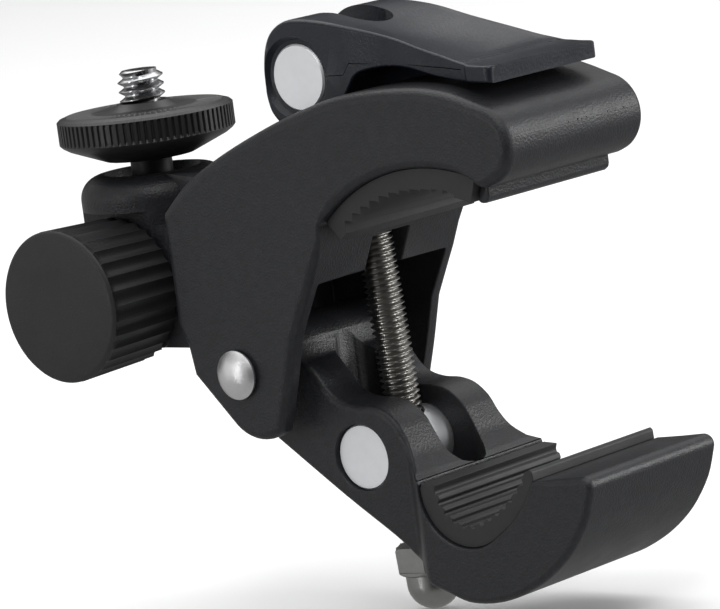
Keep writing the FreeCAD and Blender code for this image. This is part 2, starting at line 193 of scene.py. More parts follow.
def turned(name, base, axis, profile, steps=96, shape=None):
    """A solid of revolution from (radius, height) points. shape() may vary them with the angle."""
    angles = [2 * math.pi * k / steps for k in range(steps)]
    spokes = [spoke(axis, angle) for angle in angles]
    points, faces = [], []
    for radius, height in profile:
        for angle, out in zip(angles, spokes):
            r, h = shape(radius, height, angle) if shape else (radius, height)
            points.append(base + axis * h + out * r)
    for row in range(len(profile) - 1):
        for k in range(steps):
            a, b = row * steps + k, row * steps + (k + 1) % steps
            faces.append((a, b, b + steps, a + steps))
    last = (len(profile) - 1) * steps
    faces.append(tuple(range(steps)))
    faces.append(tuple(range(last, last + steps)))
    return mesh_piece(name, points, faces)


def threaded(name, base, axis, length, radius, pitch, chamfer, steps):
    """A screw thread whose ridge is one helix, cut flat at both ends."""
    root = radius - 0.61 * pitch
    form = [(0.0, root), (0.12, root), (0.50, radius), (0.60, radius), (0.97, root)]
    rows = [(turn + part, r) for turn in range(-2, math.ceil(length / pitch) + 2)
            for part, r in form]
    spokes = [spoke(axis, 2 * math.pi * k / steps) for k in range(steps)]
    points, faces = [], []
    for phase, r in rows:
        for k, out in enumerate(spokes):
            h = (phase + k / steps) * pitch
            inside = 0 < h < length
            h = min(max(h, 0), length)
            limit = radius - chamfer + min(h, length - h)
            local = max(root, min(r, limit)) if inside else root
            points.append(base + axis * h + out * local)
    turn_rows = len(form)
    last_row = len(rows) - turn_rows - 1
    for row in range(last_row):
        for k in range(steps):
            a = row * steps + k
            b = a + 1 if k < steps - 1 else (row + turn_rows) * steps
            faces.append((a, b, b + steps, a + steps))
    high = last_row * steps
    faces += [tuple(range(steps)), tuple(range(high, high + steps))]
    return mesh_piece(name, points, faces)


def extruded(name, points):
    """A solid between two outlines that follow each other in one list of points."""
    count = len(points) // 2
    faces = [tuple(range(count)), tuple(range(2 * count - 1, count - 1, -1))]
    faces += [(k, (k + 1) % count, count + (k + 1) % count, count + k) for k in range(count)]
    return mesh_piece(name, points, faces)


def side_plate(name, outline, half, y=0.0):
    """A side-view outline of (x, z) points as a plate across the clamp."""
    return extruded(name, [(x, y + s * half, z) for s in (-1, 1) for x, z in outline])


def column(name, outline, low, high):
    """A plan-view outline of (x, y) points as a column."""
    return extruded(name, [(x, y, z) for z in (low, high) for x, y in outline])


def inward_of(outline):
    """The inward direction at each corner, long enough to move both its sides by one."""
    nexts = outline[1:] + outline[:1]
    turn = sum(a[0] * b[1] - b[0] * a[1] for a, b in zip(outline, nexts))
    spin = 1 if turn > 0 else -1
    inward = []
    for before, here, after in zip(outline[-1:] + outline[:-1], outline, nexts):
        first = Vector((here[0] - before[0], here[1] - before[1])).normalized()
        second = Vector((after[0] - here[0], after[1] - here[1])).normalized()
        sides = [Vector((-spin * edge.y, spin * edge.x)) for edge in (first, second)]
        middle = (sides[0] + sides[1]).normalized()
        inward.append(middle / max(middle.dot(sides[0]), 0.4))
    return inward


def bend_sides(piece, half, half_at, stations, lanes):
    """Splits a plate at the stations (x) and lanes (y), then gives it half_at(x) as half width."""
    splits = [((x, 0, 0), (1, 0, 0)) for x in stations] + [((0, y, 0), (0, 1, 0)) for y in lanes]
    with editing(piece.data) as build:
        for place, facing in splits:
            bmesh.ops.bisect_plane(
                build, geom=build.verts[:] + build.edges[:] + build.faces[:], dist=1e-7,
                plane_co=Vector(place) * MM, plane_no=facing)
        for vert in build.verts:
            vert.co.y *= half_at(vert.co.x / MM) / half


def rolled_plate(name, outline, half, half_at, stations=(), lanes=()):
    """A plate across the clamp with rolled edges, from (x, z, roll radius) points."""
    count = len(outline)
    inward = inward_of(outline)
    rows = [(-1, k / ROLL_STEPS) for k in range(ROLL_STEPS, -1, -1)]
    rows += [(1, k / ROLL_STEPS) for k in range(ROLL_STEPS + 1)]
    points = []
    for side, part in rows:
        lean = math.pi / 2 * part
        for (x, z, roll), across in zip(outline, inward):
            shift = roll * (1 - math.cos(lean))
            y = side * (half - roll * (1 - math.sin(lean)))
            points.append((x + across.x * shift, y, z + across.y * shift))
    faces = [(row * count + k, row * count + (k + 1) % count,
              (row + 1) * count + (k + 1) % count, (row + 1) * count + k)
             for row in range(len(rows) - 1) for k in range(count)]
    last = (len(rows) - 1) * count
    faces += [tuple(range(count)), tuple(range(last, last + count))]
    piece = mesh_piece(name, points, faces)
    bend_sides(piece, half, half_at, stations, lanes)
    return piece


def with_roll(points, roll):
    """The (x, z) points with one roll radius for all."""
    return [(x, z, roll) for x, z in points]


def arc_through(start, through, end, steps):
    """Points on the arc from start to end through a third point, both ends included."""
    (ax, az), (bx, bz), (cx, cz) = start, through, end
    d = 2 * (ax * (bz - cz) + bx * (cz - az) + cx * (az - bz))
    ux = ((ax ** 2 + az ** 2) * (bz - cz) + (bx ** 2 + bz ** 2) * (cz - az)
          + (cx ** 2 + cz ** 2) * (az - bz)) / d
    uz = ((ax ** 2 + az ** 2) * (cx - bx) + (bx ** 2 + bz ** 2) * (ax - cx)
          + (cx ** 2 + cz ** 2) * (bx - ax)) / d
    radius = math.hypot(ax - ux, az - uz)
    first, middle, last = [math.degrees(math.atan2(z - uz, x - ux))
                           for x, z in (start, through, end)]
    sweep = (last - first) % 360
    if (middle - first) % 360 > sweep:
        sweep -= 360
    return arc((ux, uz), radius, first, first + sweep, steps)


def arc(centre, radius, start, end, steps):
    """Points on an arc, angles in degrees, both ends included."""
    angles = [math.radians(start + (end - start) * k / steps) for k in range(steps + 1)]
    return [(centre[0] + radius * math.cos(a), centre[1] + radius * math.sin(a)) for a in angles]


def blend(table, x):
    """Value at x of a table of (x, value) points, eased between them."""
    for (x0, v0), (x1, v1) in zip(table, table[1:]):
        if x <= x1:
            t = min(max((x - x0) / (x1 - x0), 0.0), 1.0)
            return v0 + (v1 - v0) * t * t * (3 - 2 * t)
    return table[-1][1]


def curve(knots, steps):
    """A smooth curve through the knots (Catmull-Rom), with that many points per span."""
    ends = [knots[0]] + knots + [knots[-1]]
    points = []
    for p0, p1, p2, p3 in zip(ends, ends[1:], ends[2:], ends[3:]):
        for k in range(steps):
            t = k / steps
            weights = (-t + 2 * t * t - t ** 3, 2 - 5 * t * t + 3 * t ** 3,
                       t + 4 * t * t - 3 * t ** 3, -t * t + t ** 3)
            points.append(tuple(0.5 * sum(w * p[i] for w, p in zip(weights, (p0, p1, p2, p3)))
                                for i in (0, 1)))
    return points + [knots[-1]]


# Materials -------------------------------------------------------------------------------

def add_noise(tree, size, detail):
    """Noise over the object's own coordinates, with grains of that size in millimetres."""
    place = tree.nodes.new("ShaderNodeTexCoord")
    noise = tree.nodes.new("ShaderNodeTexNoise")
    noise.inputs["Scale"].default_value = 1 / (size * MM)
    noise.inputs["Detail"].default_value = detail
    tree.links.new(place.outputs["Object"], noise.inputs["Vector"])
    return noise.outputs["Fac"]


def add_grain(tree, shader, size, bump):
    bumps = tree.nodes.new("ShaderNodeBump")
    bumps.inputs["Strength"].default_value = bump
    bumps.inputs["Distance"].default_value = 0.25 * size * MM
    tree.links.new(add_noise(tree, size, 3), bumps.inputs["Height"])
    tree.links.new(bumps.outputs["Normal"], shader.inputs["Normal"])


def add_sheen(tree, shader, roughness, spread=0.08):
    sheen = tree.nodes.new("ShaderNodeMapRange")
    sheen.inputs["To Min"].default_value = roughness - spread
    sheen.inputs["To Max"].default_value = roughness + spread
    tree.links.new(add_noise(tree, 4.0, 4), sheen.inputs["Value"])
    tree.links.new(sheen.outputs["Result"], shader.inputs["Roughness"])


def add_tone(tree, color, mottle):
    """The color, darker and lighter in patches."""
    tone = tree.nodes.new("ShaderNodeMix")
    tone.data_type = "RGBA"
    tone.inputs["A"].default_value = [c * (1 - mottle) for c in color] + [1]
    tone.inputs["B"].default_value = [min(1, c * (1 + mottle)) for c in color] + [1]
    tree.links.new(add_noise(tree, 1.1, 5), tone.inputs["Factor"])
    return tone.outputs["Result"]


def add_wear(tree, surface, wear, wear_color):
    """Patches of bare metal on the sharp edges."""
    edge = tree.nodes.new("ShaderNodeNewGeometry")
    sharp = tree.nodes.new("ShaderNodeMapRange")
    sharp.inputs["From Min"].default_value = 0.54
    sharp.inputs["From Max"].default_value = 0.66
    tree.links.new(edge.outputs["Pointiness"], sharp.inputs["Value"])
    patchy = tree.nodes.new("ShaderNodeMath")
    patchy.operation = "MULTIPLY"
    tree.links.new(sharp.outputs["Result"], patchy.inputs[0])
    tree.links.new(add_noise(tree, 0.7, 6), patchy.inputs[1])
    amount = tree.nodes.new("ShaderNodeMath")
    amount.operation = "MULTIPLY"
    amount.use_clamp = True
    amount.inputs[1].default_value = wear
    tree.links.new(patchy.outputs["Value"], amount.inputs[0])
    worn = tree.nodes.new("ShaderNodeMix")
    worn.data_type = "RGBA"
    worn.inputs["B"].default_value = [*wear_color, 1]
    tree.links.new(surface, worn.inputs["A"])
    tree.links.new(amount.outputs["Value"], worn.inputs["Factor"])
    return worn.outputs["Result"]


def finish_of(name, color, roughness, metallic=0.0, grain=0.3, bump=0.15, mottle=0.12,
              wear=0.0, wear_color=(0.25, 0.25, 0.26), specular=0.5):
    """A procedural finish: fine surface grain, uneven sheen and tone, and worn edges."""
    material = bpy.data.materials.new(name)
    material.use_nodes = True
    tree = material.node_tree
    shader = tree.nodes["Principled BSDF"]
    shader.inputs["Metallic"].default_value = metallic
    shader.inputs["Specular IOR Level"].default_value = specular
    add_grain(tree, shader, grain, bump)
    add_sheen(tree, shader, roughness)
    surface = add_tone(tree, color, mottle)
    if wear:
        surface = add_wear(tree, surface, wear, wear_color)
    tree.links.new(surface, shader.inputs["Base Color"])
    return material


LOOKS = {
    "black_casting": dict(color=(0.0112, 0.0116, 0.0138), roughness=0.42, bump=1.0, mottle=0.45,
                          wear=0.30, specular=0.36),
    "lever_casting": dict(color=(0.0085, 0.0100, 0.0150), roughness=0.33, grain=0.38, bump=0.50,
                          mottle=0.40, wear=0.30, specular=0.34),
    "pad_rubber": dict(color=(0.016, 0.016, 0.017), roughness=0.55, grain=0.25, bump=0.30,
                       specular=0.40),
    "rivet_steel": dict(color=(0.74, 0.74, 0.75), roughness=0.40, metallic=1.0, grain=0.5,
                        bump=0.12),
    "barrel_steel": dict(color=(0.90, 0.91, 0.93), roughness=0.55, metallic=1.0, bump=0.10,
                         mottle=0.04),
    "rod_steel": dict(color=(0.40, 0.39, 0.37), roughness=0.30, metallic=1.0, grain=0.2,
                      bump=0.08),
    "nut_nickel": dict(color=(0.30, 0.30, 0.29), roughness=0.38, metallic=1.0, grain=0.4,
                       bump=0.12),
    "screw_steel": dict(color=(0.30, 0.30, 0.31), roughness=0.35, metallic=1.0),
    "cup_plastic": dict(color=(0.50, 0.49, 0.46), roughness=0.45, bump=0.1),
    "ball_black": dict(color=(0.008, 0.008, 0.009), roughness=0.42, bump=0.10, specular=0.25),
    "stud_chrome": dict(color=(0.50, 0.50, 0.51), roughness=0.22, metallic=1.0, grain=0.2,
                        bump=0.06),
    "black_anodised": dict(color=(0.010, 0.010, 0.011), roughness=0.40, grain=0.2, wear=0.6,
                           wear_color=(0.35, 0.35, 0.35), specular=0.45),
    "knob_plastic": dict(color=(0.0125, 0.0125, 0.0138), roughness=0.50, bump=0.45,
                         specular=0.40),
}
FINISHES = {name: finish_of(name, **look) for name, look in LOOKS.items()}
SLOT = {part["node"]: part["material_slot"] for part in frame["record"]["subparts"]}
BODY = {node: body for body, nodes in frame["record"]["behaviour"]["bodies"].items()
        for node in nodes}


def coat(piece, node):
    """Gives a piece the finish of its CAD node."""
    piece.data.materials.clear()
    piece.data.materials.append(FINISHES[SLOT[node]])


def stand_for(piece, node, counts=True):
    """The piece rides with the node's body, takes its finish and, if it counts, replaces it."""
    coat(piece, node)
    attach(piece, BODY[node])
    if counts:
        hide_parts(node)


# Castings --------------------------------------------------------------------------------

def throat_x(z):
    """Front face of the throat plate at height z."""
    return -17.6 + (z - 16.2) * 0.477


def frame_half(x):
    """The frame narrows from the hinge to the nose."""
    back, length, narrowing = -44.5, 59.8, 2.0
    return 16.0 - narrowing * (x - back) / length


def cross_bore(piece, centre, radius):
    middle = Vector((centre.x, 0, centre.z))
    cut(piece, turned("bore", middle, ACROSS, [(radius, -FAR), (radius, FAR)]))


def nose_marks(casting):
    """The mould's parting line over the nose, with small pits along it."""
    line = [(15.18, 28.62), (16.0, 28.58), (16.0, 28.64), (15.18, 28.68)]
    cut(casting, side_plate("parting_line", line, 12.4))
    outward = Vector((1, 0, 0.1)).normalized()
    for y, size in ((-1.5, 0.10), (0.4, 0.16), (1.2, 0.10), (2.1, 0.12), (6.5, 0.12), (9.8, 0.14)):
        pit = [(size * 0.3, -0.3), (size, 0.0), (size * 0.9, 0.6)]
        cut(casting, turned("pit", Vector((15.22, y, 28.7 + size)), outward, pit, 8))


def frame_outline():
    """Side view of the frame: back, nose, pad seat, throat, hinge end, with the roll radii."""
    edge, seat_edge, lip = 1.5, 1.2, 0.35
    back = curve([(-44.4, 20.4), (-40.0, 24.2), (-33.5, 27.7), (-25.2, 31.1), (-18.2, 33.4),
                  (-10.9, 35.1), (-2.0, 35.6), (5.0, 34.9), (11.8, 32.7)], 5)
    nose = arc_through((11.8, 32.7), (15.3, 27.8), (11.8, 22.9), 20)
    outline = with_roll(back + nose[1:-1], edge)
    outline += [(11.8, 22.9, edge), (10.9, 22.6, 1.3), (10.0, 22.6, 1.0), (9.2, 23.0, 0.7)]
    seat = arc((0, 0), 25.3, 69.4, 133.5, 44)
    for k, (x, z) in enumerate(seat):
        reach = min(k, len(seat) - 1 - k) / 5
        outline.append((x, z, lip + (seat_edge - lip) * min(reach, 1.0)))
    outline.append((throat_x(16.2), 16.2, 0.6))
    throat = [(throat_x(13.5), 13.5), (throat_x(10.3), 10.3), (-22.3, 6.9)]
    throat += curve([(-24.2, 3.4), (-26.2, -3.0), (-28.4, -9.2)], 5)[:-1]
    throat += arc_through((-28.4, -9.2), (-32.0, -10.3), (-36.4, -8.4), 10)
    outline += with_roll(throat, seat_edge)
    outline += with_roll([(-42.7, -1.6), (-43.3, 2.4), (-44.5, 5.2), (-44.5, 19.6)], edge)
    return outline


def frame_openings(casting):
    """Pocket in the back, trough under the lever, rod slots, hinge bore and screw holes."""
    cavity = [(-41.9, -3.5), (-41.9, 18.6), (-32.0, 23.6), (-26.0, 25.6), (-17.5, 25.9),
              (-17.5, 22.4), (-20.5, 19.6), (-20.5, 16.2), (-23.3, 10.3), (-14.0, 10.3),
              (-14.0, -14.0), (-47.0, -14.0), (-47.0, -3.5)]
    trough = [(-38.05, 24.45), (-30.0, 27.1), (-26.0, 28.2), (-22.5, 29.0), (-18.0, 29.2),
              (-12.6, 29.6), (-12.6, 38.0), (-38.05, 38.0)]
    back_slot = [(-31.0, 20.0), (-18.4, 20.0), (-18.4, 33.0), (-31.0, 33.0)]
    throat_slot = [(-26.0, 9.0), (-18.2, 9.0), (-18.2, 17.4), (-19.6, 26.5), (-26.0, 26.5)]
    cut(casting, side_plate("cavity", cavity, 12.95))
    cut(casting, side_plate("trough", trough, 10.4))
    for slot in (back_slot, throat_slot):
        cut(casting, side_plate("slot", slot, 3.65))
    cross_bore(casting, HINGE, RIVET_BORE)
    screw_z, hole = 11.0, [(2.25, 0), (2.25, 16)]
    for y in (-4.2, 4.2):
        cut(casting, turned("hole", Vector((-50, y, screw_z)), Vector((1, 0, 0)), hole, 32))


def frame_casting():
    """C-shaped frame: rolled side plates, hollow behind the throat, open at the back."""
    casting = rolled_plate("frame_mesh", frame_outline(), 16.0, frame_half)
    nose_lip = [(8.85, 23.6), (9.8, 23.6), (9.8, 21.3), (9.65, 20.8), (9.1, 20.42), (8.4, 20.38),
                (7.9, 20.7)]
    join(casting, side_plate("nose_lip", nose_lip, 12.35))
    frame_openings(casting)
    soften(clean(casting), 0.25, 32)
    nose_marks(casting)
    stand_for(casting, "frame")


# Lower jaw -------------------------------------------------------------------------------

FLARE_START, FLARE_END = -12.4, -7.2
ARM_HALF, TIP_HALF = 9.8, 13.3


def jaw_half(x):
    """The arm flares in an S to the wider gripping end."""
    return blend([(FLARE_START, ARM_HALF), (FLARE_END, TIP_HALF)], x)


def jaw_outline():
    """Side view of the jaw: knuckle, arm, pad seat, ledge, round end, underside."""
    edge, seat_edge, arm_edge = 0.95, 0.35, 1.05
    arm = arc((HINGE.x, HINGE.z), 5.6, 218, 30, 36)[:-1]
    arm += curve([(-29.45, 1.5), (-28.4, -0.6), (-27.2, -1.4), (-25.9, -2.6), (-24.4, -4.6),
                  (-22.6, -5.9), (-20.2, -6.5), (-17.6, -6.6), (-15.2, -7.3), (-13.2, -8.9),
                  (-11.9, -11.0), (-10.6, -13.3), (-8.9, -15.2)], 4)[:-1]
    seat = arc((-0.3, -16.7), 7.6, 180, 310, 34)[:-1]
    seat += arc_through((4.585, -22.52), (9.0, -18.9), (11.4, -15.2), 14)
    ledge = [(16.0, -14.74), (18.6, -14.48), (19.4, -14.4)]
    ledge += arc_through((19.4, -14.4), (20.7, -14.9), (20.9, -16.3), 8)[1:-1]
    under = curve([(20.9, -16.3), (19.4, -20.2), (16.4, -24.3), (12.6, -27.5), (8.6, -29.7),
                   (5.0, -31.0), (1.6, -31.6), (-2.0, -31.5), (-5.2, -30.4), (-9.0, -29.0),
                   (-12.4, -26.9), (-15.8, -24.2), (-23.9, -18.9), (-34.6, -11.4)], 4)
    return (with_roll(arm, arm_edge) + [(-8.9, -15.2, 0.5), (-7.9, -15.75, seat_edge)]
            + with_roll(seat, seat_edge) + [(13.4, -15.01, 0.6)] + with_roll(ledge + under, edge))


def jaw_casting():
    """Lower jaw: round knuckle, slotted arm, and a broad end with the pad's seat."""
    parts = 14
    flare = [FLARE_START + (FLARE_END - FLARE_START) * k / parts for k in range(parts + 1)]
    casting = rolled_plate("lower_jaw_mesh", jaw_outline(), TIP_HALF, jaw_half, flare)
    slot_half = 3.65
    slot = arc((-25.85, 0), slot_half, 270, 90, 24) + arc((-11.75, 0), slot_half, 90, -90, 24)
    cut(casting, column("slot", slot, -36, 10))
    cross_bore(casting, HINGE, RIVET_BORE)
    cross_bore(casting, JAW_PIN, 4.51)
    soften(clean(casting), 0.22, 40)
    stand_for(casting, "lower_jaw")


# Pads ------------------------------------------------------------------------------------

def beside(points, share, depth):
    """The point at a share of a line's length, moved to its side by the depth."""
    spans = list(zip(points, points[1:]))
    left = share * sum(math.dist(a, b) for a, b in spans)
    for a, b in spans:
        length = math.dist(a, b)
        if left <= length + 1e-9:
            t = left / length
            normal = ((a[1] - b[1]) / length, (b[0] - a[0]) / length)
            return (a[0] + (b[0] - a[0]) * t + normal[0] * depth,
                    a[1] + (b[1] - a[1]) * t + normal[1] * depth)
        left -= length
    return points[-1]


def ribs(points, count, rise):
    """Flat-topped ribs along a line of (x, z) points."""
    form = ((0.02, 0.0), (0.45, 0.0), (0.62, rise), (0.88, rise))
    return [beside(points, (k + part) / count, depth) for k in range(count)
            for part, depth in form]


def upper_pad():
    """Arc pad with stair-shaped teeth across the clamp and a plain band at each end."""
    centre = (0.0, 0.0)
    inner, outer = 22.0, 25.25
    low, high = 133.1, 69.8
    first, last, teeth, rise = 77.0, 129.5, 11, 0.45
    outline = arc(centre, outer, low, high, 40)
    outline += arc(centre, inner, high, first, 4)
    corners = arc(centre, inner + 0.15, first, last, teeth)
    for (x0, z0), (x1, z1) in zip(corners, corners[1:]):
        outline += [(x0, z0), (x0 - 0.25, z0 + 0.3), (x1 + 0.1, max(z0, z1) + rise)]
    outline += arc(centre, inner, last, low, 3)
    pad = side_plate("upper_pad_mesh", outline, 13.45)
    soften(pad, 0.06, 25)
    stand_for(pad, "upper_pad")


def lower_pad():
    """U-shaped pad with fine ribs across the clamp and a plain lip on the mouth's side."""
    centre = (-0.3, -16.7)
    inner, outer = 4.7, 7.57
    outline = [(-7.47, -16.05)] + arc(centre, outer, 180, 310, 34)
    outline += arc_through(outline[-1], (8.97, -18.87), (11.36, -15.2), 10)[1:]
    outline += [(11.3, -14.1), (10.95, -13.72), (9.95, -14.15)]
    gripping = arc_through((9.8, -14.5), (7.4, -17.3), (2.2, -20.7), 12)
    gripping += arc(centre, inner, -58, -180, 24)[1:]
    outline += ribs(gripping, 13, 0.42)
    outline += [(-5.15, -16.2)]
    pad = side_plate("lower_pad_mesh", outline, 12.65)
    soften(pad, 0.13, 25)
    stand_for(pad, "lower_pad")


# Steel pieces ----------------------------------------------------------------------------

def hinge_rivet():
    """Rivet with two domed heads, each on a thin flat rim."""
    half = (cad("hinge_rivet", 1, 1) - cad("hinge_rivet", 0, 1)) / 2
    head, dome, rim = 3.3, 1.45, 0.25
    ball = (head ** 2 + (dome - rim) ** 2) / (2 * (dome - rim))
    spread = math.asin(head / ball)
    cap = [(ball * math.sin(spread * (1 - k / 12)),
            half - ball + ball * math.cos(spread * (1 - k / 12))) for k in range(12)]
    shank = 2.5
    side = [(shank, half - dome), (head, half - dome), (head, half - dome + rim * 0.8)]
    side += cap + [(TIP, half)]
    profile = [(r, -h) for r, h in reversed(side)] + side
    rivet = turned("hinge_rivet_mesh", Vector((HINGE.x, 0, HINGE.z)), ACROSS, profile)
    stand_for(smooth(rivet, 40), "hinge_rivet")


def cross_barrel(node, centre, bore):
    """Cross pin with chamfered, slightly dished ends and a bore for the rod."""
    half, radius, chamfer = 9.2, 4.45, 0.25
    middle = Vector((centre.x, 0, centre.z))
    end = [(radius, half - chamfer), (radius - chamfer, half), (radius - 1.3, half),
           (TIP, half - 0.05)]
    profile = [(r, -h) for r, h in reversed(end)] + end
    barrel = turned(node + "_mesh", middle, ACROSS, profile, 128)
    for width, start, stop in bore:
        cut(barrel, turned("bore", middle, ROD_DOWN, [(width, start), (width, stop)], 48))
    stand_for(smooth(barrel, 25), node)


def clamp_rod():
    """M5 rod: socket head in the lever barrel and a thread over its whole length."""
    head_top = LEVER_PIN - ROD_DOWN * 4.05
    under_jaw, thread_start, radius, pitch = 21.1, 2.4, 2.5, 0.8
    length = (JAW_PIN - head_top).length + under_jaw
    rod = threaded("clamp_rod_mesh", head_top + ROD_DOWN * thread_start, ROD_DOWN,
                   length - thread_start, radius, pitch, 0.4, 40)
    stand_for(smooth(rod, 40), "clamp_rod")
    head = turned("clamp_rod_head", head_top, ROD_DOWN,
                  [(3.1, 0.0), (3.4, 0.3), (3.4, 2.6), (2.4, 2.6)], 64)
    hexagon = [(1.73, 0), (1.73, 2.1)]
    cut(head, turned("socket", head_top - ROD_DOWN * 0.5, ROD_DOWN, hexagon, 6))
    stand_for(smooth(head, 30), "clamp_rod", False)


def cap_nut():
    """Acorn nut: chamfered hexagon under a dome."""
    top = JAW_PIN + ROD_DOWN * 13.6
    corner, height = 8.0 / math.sqrt(3), 4.0
    hexagon = turned("cap_nut_hex", top, ROD_DOWN, [(corner, 0), (corner, height)], 6)
    limit = [(4.15, -0.05), (4.75, 0.5), (4.75, height - 0.7), (3.9, height + 0.05)]
    keep(hexagon, turned("cone", top, ROD_DOWN, limit))
    soften(hexagon, 0.12, 25)
    stand_for(hexagon, "cap_nut")
    dome_height, radius = 5.0, 3.6
    dome_base = height + dome_height - radius
    profile = [(3.4, height - 0.4), (radius, height - 0.2), (radius, dome_base)]
    profile += arc((0.0, dome_base), radius, 0, 90, 14)[1:-1]
    profile.append((TIP, height + dome_height))
    stand_for(smooth(turned("cap_nut_dome", top, ROD_DOWN, profile, 72), 40), "cap_nut", False)


def camera_stud():
    """1/4 inch - 20 stud."""
    low, top = 31.0, cad("camera_stud", 1, 2)
    radius, pitch = 3.175, 1.27
    base = Vector((BALL.x, 0, low))
    stud = threaded("camera_stud_mesh", base, UP, top - low, radius, pitch, 0.75, 64)
    stand_for(smooth(stud, 40), "camera_stud")


# Lever -----------------------------------------------------------------------------------

LEVER_TOP = curve([(-28.55, 36.4), (-28.4, 38.6), (-27.7, 41.2), (-26.3, 43.2), (-23.8, 44.4),
                   (-20.5, 44.5), (-14.5, 43.6), (-6.5, 41.6), (1.0, 39.4), (6.2, 38.0),
                   (8.4, 37.65), (11.4, 37.5)], 7)
LEVER_BOTTOM = curve([(-28.55, 36.2), (-28.5, 34.4), (-27.8, 32.2), (-25.6, 30.2), (-22.7, 29.4),
                      (-19.2, 29.9), (-16.2, 31.6), (-14.0, 34.9), (-11.6, 37.3), (-5.0, 37.7),
                      (3.0, 36.0), (11.2, 35.3)], 7)
LEVER_HALF = [(-15.0, 9.8), (-7.0, 9.1), (2.0, 9.8), (6.4, 10.4), (7.6, 10.95), (10.2, 10.95)]
LEVER_DISH = [(-21.0, 0.0), (-13.5, 0.8), (-6.0, 1.35), (1.5, 1.0), (6.0, 0.0)]
LEVER_BEAD = [(-16.0, 0.0), (-11.0, 0.16), (3.5, 0.16), (6.2, 0.0)]
TIP_X, TIP_CORNER = 11.4, 1.2
ARM_SIDE = 9.8


def lever_half(x):
    """Waisted arm, then the wider plate of the tip with its corners rounded."""
    reach = max(x - (TIP_X - TIP_CORNER), 0.0)
    corner = TIP_CORNER - math.sqrt(max(TIP_CORNER ** 2 - reach ** 2, 0.0))
    return blend(LEVER_HALF, x) - corner


def height_on(line, x):
    """Height of a side-view line where it passes x."""
    for (x0, z0), (x1, z1) in zip(line, line[1:]):
        if x0 <= x <= x1:
            return z0 + (z1 - z0) * (x - x0) / max(x1 - x0, 1e-6)
    return line[-1][1]


def dish_top(arm):
    """Hollows the top of the arm between two beads that run along its edges."""
    start, bead_width = -20.5, 0.05
    for vert in arm.data.vertices:
        x, y, z = vert.co / MM
        if x < start or x > TIP_X - 0.05:
            continue
        if z < 0.55 * height_on(LEVER_TOP, x) + 0.45 * height_on(LEVER_BOTTOM, x):
            continue
        share = min(abs(y) / (lever_half(x) - 0.45), 1.0)
        bead = blend(LEVER_BEAD, x) * min((1 - share) / bead_width, 1.0)
        vert.co.z -= (blend(LEVER_DISH, x) * (1 - share ** 2) ** 1.4 + bead) * MM


def lever_blank():
    """The whole lever before its openings, with its waist and dish."""
    top_roll = [(-28.6, 0.9), (-8.0, 0.5), (3.0, 0.4)]
    bottom_roll = [(-28.6, 0.9), (-18.0, 0.7), (-14.0, 0.3)]
    outline = [(x, z, blend(top_roll, x)) for x, z in LEVER_TOP]
    outline += [(x, z, blend(bottom_roll, x)) for x, z in reversed(LEVER_BOTTOM)]
    stations = [-20.0 + 1.25 * k for k in range(21)]
    stations += [6.8, 7.2, 7.6, 10.2, 10.5, 10.8, 11.0, 11.15, 11.3]
    lanes = [ARM_SIDE * share * side for share in (0.955, 0.91, 0.84, 0.74, 0.62, 0.48, 0.32, 0.16)
             for side in (-1, 1)]
    arm = rolled_plate("lever_mesh", outline, ARM_SIDE, lever_half, stations, lanes + [0.0])
    dish_top(arm)
    return arm


def lever_marks(arm, centre):
    """Countersinks around the pin, the mould's parting line, and the groove before the tip."""
    line = [(-20.0, 37.05), (-14.3, 37.05), (-13.2, 38.5), (-4.3, 38.05), (6.2, 37.15)]
    width = 0.06
    strip = [(x, z - width) for x, z in line] + [(x, z + width) for x, z in reversed(line)]
    ring = [(4.4, -0.9), (5.0, -0.8), (5.3, -0.35), (5.55, 0.05), (5.8, 0.5)]
    for side in (-1, 1):
        cut(arm, turned("ring", centre + ACROSS * side * ARM_SIDE, ACROSS * side, ring))
        cut(arm, side_plate("line", strip, 0.75, side * 10.0))
    groove = [(6.2, -9.6), (6.45, -9.6), (6.45, 9.6), (6.2, 9.6)]
    cut(arm, column("groove", groove, 37.7, 39.0))


def lever():
    """Forked cam head, dished arm and T-shaped tip, with the mould's parting line."""
    arm = lever_blank()
    slot_end, slot_half, open_end = -17.7, 3.5, -40
    slot = [(open_end, -slot_half), (slot_end, -slot_half)]
    slot += arc((slot_end, 0), slot_half, -85, 85, 16)
    slot += [(slot_end, slot_half), (open_end, slot_half)]
    cut(arm, column("slot", slot, 20, 50))
    centre = Vector((LEVER_PIN.x, 0, LEVER_PIN.z))
    cut(arm, turned("bore", centre, ACROSS, [(4.52, -20), (4.52, 20)]))
    lever_marks(arm, centre)
    shade_by_area(clean(arm), 32)
    stand_for(arm, "lever")


# Ball head -------------------------------------------------------------------------------

